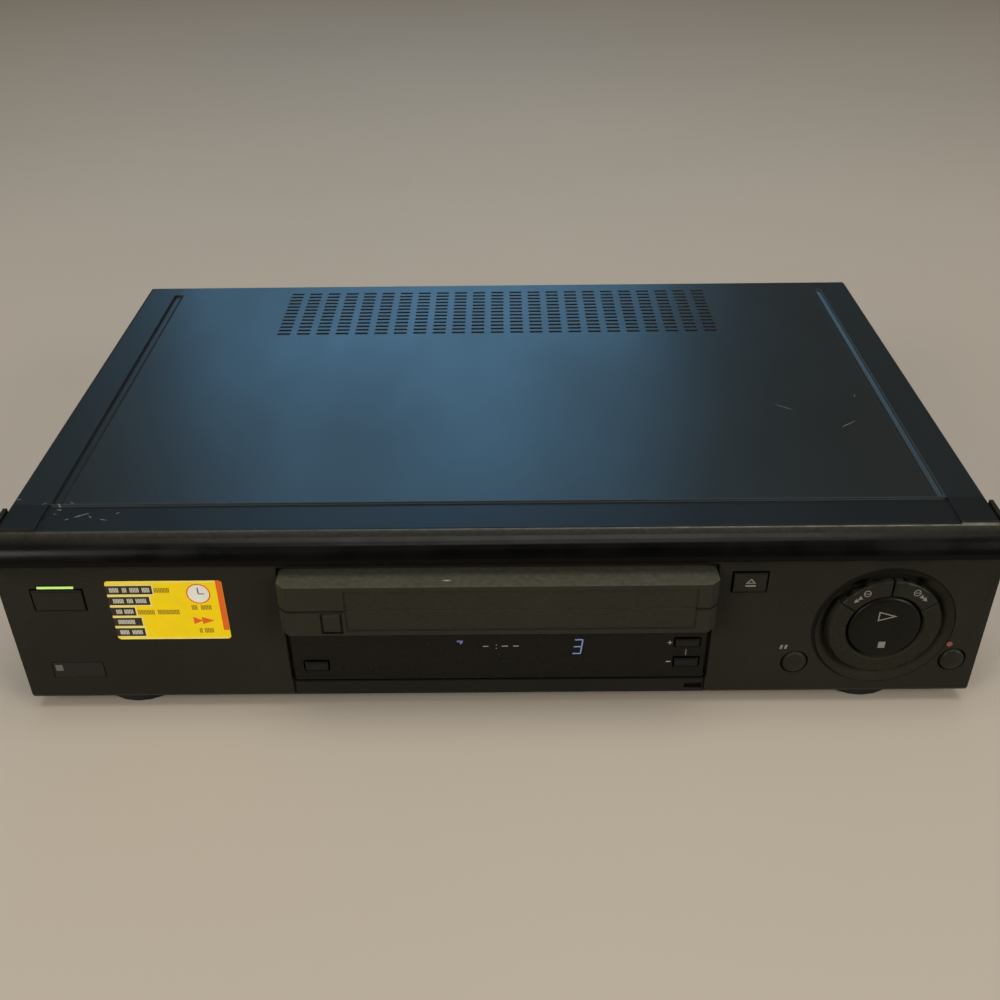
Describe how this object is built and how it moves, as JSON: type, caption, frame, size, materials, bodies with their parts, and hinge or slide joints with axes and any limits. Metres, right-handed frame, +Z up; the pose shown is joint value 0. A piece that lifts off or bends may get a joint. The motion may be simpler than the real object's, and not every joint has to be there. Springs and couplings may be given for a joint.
{
  "type": "video cassette recorder",
  "caption": "Low black front-loading video cassette recorder with a tape standing in its slot, round transport dial, vented top and full tape mechanism.",
  "frame": {"origin": "middle of the bounding box's bottom face, on the surface the feet stand on", "axes": "+X to the right seen from the front, +Y from the front panel to the rear panel, +Z up"},
  "size_m": [0.43, 0.3048, 0.0925],
  "materials": {
    "audio_control_head": "zinc plated",
    "base_chassis": "zinc plated",
    "basket_housing": "zinc plated",
    "cam_gear": "moulded",
    "capstan": "turned",
    "cassette_basket": "zinc plated",
    "cassette_door": "satin moulded plastic",
    "cassette_lower_shell": "fine grain",
    "cassette_supply_reel": "moulded",
    "cassette_take_up_reel": "moulded",
    "cassette_upper_shell": "fine grain",
    "channel_down_button": "fine satin",
    "channel_up_button": "fine satin",
    "control_board": "bare board",
    "cord_gland": "moulded",
    "cover_screw_left": "zinc plated",
    "cover_screw_right": "zinc plated",
    "dial_dish": "satin moulded plastic",
    "display_tube": "polished",
    "display_window": "gloss",
    "drum_lower": "turned",
    "drum_upper": "turned",
    "eject_button": "fine satin",
    "foot_front_left": "moulded",
    "foot_front_right": "moulded",
    "foot_rear_left": "moulded",
    "foot_rear_right": "moulded",
    "forward_button": "fine satin",
    "front_board": "lacquered board",
    "front_jack_block": "moulded",
    "front_panel": "satin moulded plastic",
    "full_erase_head": "zinc plated",
    "idler_arm": "zinc plated",
    "idler_wheel": "moulded",
    "input_flap": "satin moulded plastic",
    "loading_motor": "zinc plated",
    "main_board": "lacquered board",
    "mechanism_deck": "zinc plated",
    "motor_pinion": "machined",
    "pause_button": "fine satin",
    "pinch_arm": "zinc plated",
    "pinch_roller": "moulded",
    "play_stop_rocker": "fine satin",
    "power_board": "bare board",
    "power_button": "fine satin",
    "power_light_pipe": "clear moulded",
    "power_transformer": "zinc plated",
    "rear_jack_block": "moulded",
    "rear_panel": "satin paint",
    "record_button": "fine satin",
    "rewind_button": "fine satin",
    "sensor_window": "polished",
    "source_button": "fine satin",
    "supply_reel_table": "moulded",
    "supply_sled": "moulded",
    "take_up_reel_table": "moulded",
    "take_up_sled": "moulded",
    "tape_lid": "fine grain",
    "top_cover": "satin paint",
    "tuner_module": "zinc plated"
  },
  "bodies": {
    "casing": {"audio_control_head": "audio_control_head", "base_chassis": "base_chassis", "basket_housing": "basket_housing", "control_board": "control_board", "cord_gland": "cord_gland", "cover_screw_left": "cover_screw_left", "cover_screw_right": "cover_screw_right", "dial_dish": "dial_dish", "display_tube": "display_tube", "display_window": "display_window", "drum_lower": "drum_lower", "foot_front_left": "foot_front_left", "foot_front_right": "foot_front_right", "foot_rear_left": "foot_rear_left", "foot_rear_right": "foot_rear_right", "front_board": "front_board", "front_jack_block": "front_jack_block", "front_panel": "front_panel", "full_erase_head": "full_erase_head", "loading_motor": "loading_motor", "main_board": "main_board", "mechanism_deck": "mechanism_deck", "power_board": "power_board", "power_light_pipe": "power_light_pipe", "power_transformer": "power_transformer", "rear_jack_block": "rear_jack_block", "rear_panel": "rear_panel", "sensor_window": "sensor_window", "top_cover": "top_cover", "tuner_module": "tuner_module"},
    "basket": {"cassette_basket": "cassette_basket"},
    "cassette": {"cassette_lower_shell": "cassette_lower_shell", "cassette_upper_shell": "cassette_upper_shell"},
    "tape_lid": {"tape_lid": "tape_lid"},
    "cassette_supply_reel": {"cassette_supply_reel": "cassette_supply_reel"},
    "cassette_take_up_reel": {"cassette_take_up_reel": "cassette_take_up_reel"},
    "cassette_door": {"cassette_door": "cassette_door"},
    "input_flap": {"input_flap": "input_flap"},
    "power_button": {"power_button": "power_button"},
    "eject_button": {"eject_button": "eject_button"},
    "source_button": {"source_button": "source_button"},
    "channel_up_button": {"channel_up_button": "channel_up_button"},
    "channel_down_button": {"channel_down_button": "channel_down_button"},
    "pause_button": {"pause_button": "pause_button"},
    "record_button": {"record_button": "record_button"},
    "rewind_button": {"rewind_button": "rewind_button"},
    "forward_button": {"forward_button": "forward_button"},
    "play_stop_rocker": {"play_stop_rocker": "play_stop_rocker"},
    "supply_reel_table": {"supply_reel_table": "supply_reel_table"},
    "take_up_reel_table": {"take_up_reel_table": "take_up_reel_table"},
    "idler_arm": {"idler_arm": "idler_arm"},
    "idler_wheel": {"idler_wheel": "idler_wheel"},
    "drum_upper": {"drum_upper": "drum_upper"},
    "supply_sled": {"supply_sled": "supply_sled"},
    "take_up_sled": {"take_up_sled": "take_up_sled"},
    "capstan": {"capstan": "capstan"},
    "pinch_arm": {"pinch_arm": "pinch_arm"},
    "pinch_roller": {"pinch_roller": "pinch_roller"},
    "cam_gear": {"cam_gear": "cam_gear"},
    "motor_pinion": {"motor_pinion": "motor_pinion"}
  },
  "joints": [
    {"name": "basket_slide", "type": "slide", "parent": "casing", "child": "basket", "axis": [0, 1, 0], "range_m": [0, 0.08]},
    {"name": "cassette_insert", "type": "slide", "parent": "basket", "child": "cassette", "axis": [0, 1, 0], "range_m": [-0.09, 0]},
    {"name": "tape_lid_hinge", "type": "hinge", "parent": "cassette", "child": "tape_lid", "pos_m": [0, -0.0614, 0.0718], "axis": [1, 0, 0], "range_deg": [0, 85], "stiffness_Nm_per_rad": 0.004, "springref_deg": -22.92},
    {"name": "cassette_supply_spin", "type": "hinge", "parent": "cassette", "child": "cassette_supply_reel", "pos_m": [-0.046, -0.1058, 0.05], "axis": [0, 0, 1], "continuous": true},
    {"name": "cassette_take_up_spin", "type": "hinge", "parent": "cassette", "child": "cassette_take_up_reel", "pos_m": [0.046, -0.1058, 0.05], "axis": [0, 0, 1], "continuous": true},
    {"name": "cassette_door_hinge", "type": "hinge", "parent": "casing", "child": "cassette_door", "pos_m": [0, -0.1368, 0.0761], "axis": [1, 0, 0], "range_deg": [0, 5]},
    {"name": "input_flap_hinge", "type": "hinge", "parent": "casing", "child": "input_flap", "pos_m": [0, -0.13925, 0.0077], "axis": [1, 0, 0], "range_deg": [0, 90]},
    {"name": "power_button_press", "type": "slide", "parent": "casing", "child": "power_button", "axis": [0, 1, 0], "range_m": [0, 0.0012], "stiffness_N_per_m": 350, "springref_m": -0.0008},
    {"name": "eject_button_press", "type": "slide", "parent": "casing", "child": "eject_button", "axis": [0, 1, 0], "range_m": [0, 0.0012], "stiffness_N_per_m": 350, "springref_m": -0.0008},
    {"name": "source_button_press", "type": "slide", "parent": "casing", "child": "source_button", "axis": [0, 1, 0], "range_m": [0, 0.0006], "stiffness_N_per_m": 350, "springref_m": -0.0008},
    {"name": "channel_up_button_press", "type": "slide", "parent": "casing", "child": "channel_up_button", "axis": [0, 1, 0], "range_m": [0, 0.0006], "stiffness_N_per_m": 350, "springref_m": -0.0008},
    {"name": "channel_down_button_press", "type": "slide", "parent": "casing", "child": "channel_down_button", "axis": [0, 1, 0], "range_m": [0, 0.0006], "stiffness_N_per_m": 350, "springref_m": -0.0008},
    {"name": "pause_button_press", "type": "slide", "parent": "casing", "child": "pause_button", "axis": [0, 1, 0], "range_m": [0, 0.0008], "stiffness_N_per_m": 350, "springref_m": -0.0008},
    {"name": "record_button_press", "type": "slide", "parent": "casing", "child": "record_button", "axis": [0, 1, 0], "range_m": [0, 0.0008], "stiffness_N_per_m": 350, "springref_m": -0.0008},
    {"name": "rewind_button_press", "type": "slide", "parent": "casing", "child": "rewind_button", "axis": [0, 1, 0], "range_m": [0, 0.001], "stiffness_N_per_m": 350, "springref_m": -0.0008},
    {"name": "forward_button_press", "type": "slide", "parent": "casing", "child": "forward_button", "axis": [0, 1, 0], "range_m": [0, 0.001], "stiffness_N_per_m": 350, "springref_m": -0.0008},
    {"name": "play_stop_rock", "type": "hinge", "parent": "casing", "child": "play_stop_rocker", "pos_m": [0.1705, -0.1336, 0.043], "axis": [1, 0, 0], "range_deg": [-2, 2], "stiffness_Nm_per_rad": 0.4},
    {"name": "supply_table_spin", "type": "hinge", "parent": "casing", "child": "supply_reel_table", "pos_m": [-0.046, -0.0258, 0.0227], "axis": [0, 0, 1], "continuous": true},
    {"name": "take_up_table_spin", "type": "hinge", "parent": "casing", "child": "take_up_reel_table", "pos_m": [0.046, -0.0258, 0.0227], "axis": [0, 0, 1], "continuous": true},
    {"name": "idler_swing", "type": "hinge", "parent": "casing", "child": "idler_arm", "pos_m": [0, 0.0042, 0.0227], "axis": [0, 0, 1], "range_deg": [-24, 24]},
    {"name": "idler_wheel_spin", "type": "hinge", "parent": "idler_arm", "child": "idler_wheel", "pos_m": [0, -0.0298, 0.0227], "axis": [0, 0, 1], "continuous": true},
    {"name": "drum_spin", "type": "hinge", "parent": "casing", "child": "drum_upper", "pos_m": [0, 0.0812, 0.0227], "axis": [0.1028, 0, 0.9947], "continuous": true},
    {"name": "capstan_spin", "type": "hinge", "parent": "casing", "child": "capstan", "pos_m": [0.062, 0.0552, 0.0227], "axis": [0, 0, 1], "continuous": true},
    {"name": "cam_turn", "type": "hinge", "parent": "casing", "child": "cam_gear", "pos_m": [0.082, 0.0942, 0.0245], "axis": [0, 0, 1], "range_deg": [0, 200]},
    {"name": "pinion_turn", "type": "hinge", "parent": "casing", "child": "motor_pinion", "pos_m": [0.08769, 0.11545, 0.0245], "axis": [0, 0, 1], "range_deg": [-681, 0]},
    {"name": "supply_sled_travel", "type": "slide", "parent": "casing", "child": "supply_sled", "axis": [-0.1414, 0.9899, 0], "range_m": [0, 0.05659]},
    {"name": "take_up_sled_travel", "type": "slide", "parent": "casing", "child": "take_up_sled", "axis": [0.1414, 0.9899, 0], "range_m": [0, 0.05659]},
    {"name": "pinch_arm_swing", "type": "hinge", "parent": "casing", "child": "pinch_arm", "pos_m": [0.09, 0.0392, 0.0285], "axis": [0, 0, 1], "range_deg": [-35.1, 0]},
    {"name": "pinch_roller_spin", "type": "hinge", "parent": "pinch_arm", "child": "pinch_roller", "pos_m": [0.0673, 0.0319, 0.032], "axis": [0, 0, 1], "continuous": true}
  ],
  "couplings": [
    {"joint": "pinion_turn", "follows": "cam_turn", "ratio": -3.4},
    {"joint": "supply_sled_travel", "follows": "cam_turn", "m_per_rad": 0.016206},
    {"joint": "take_up_sled_travel", "follows": "cam_turn", "m_per_rad": 0.016206},
    {"joint": "pinch_arm_swing", "follows": "cam_turn", "ratio": -0.175}
  ]
}
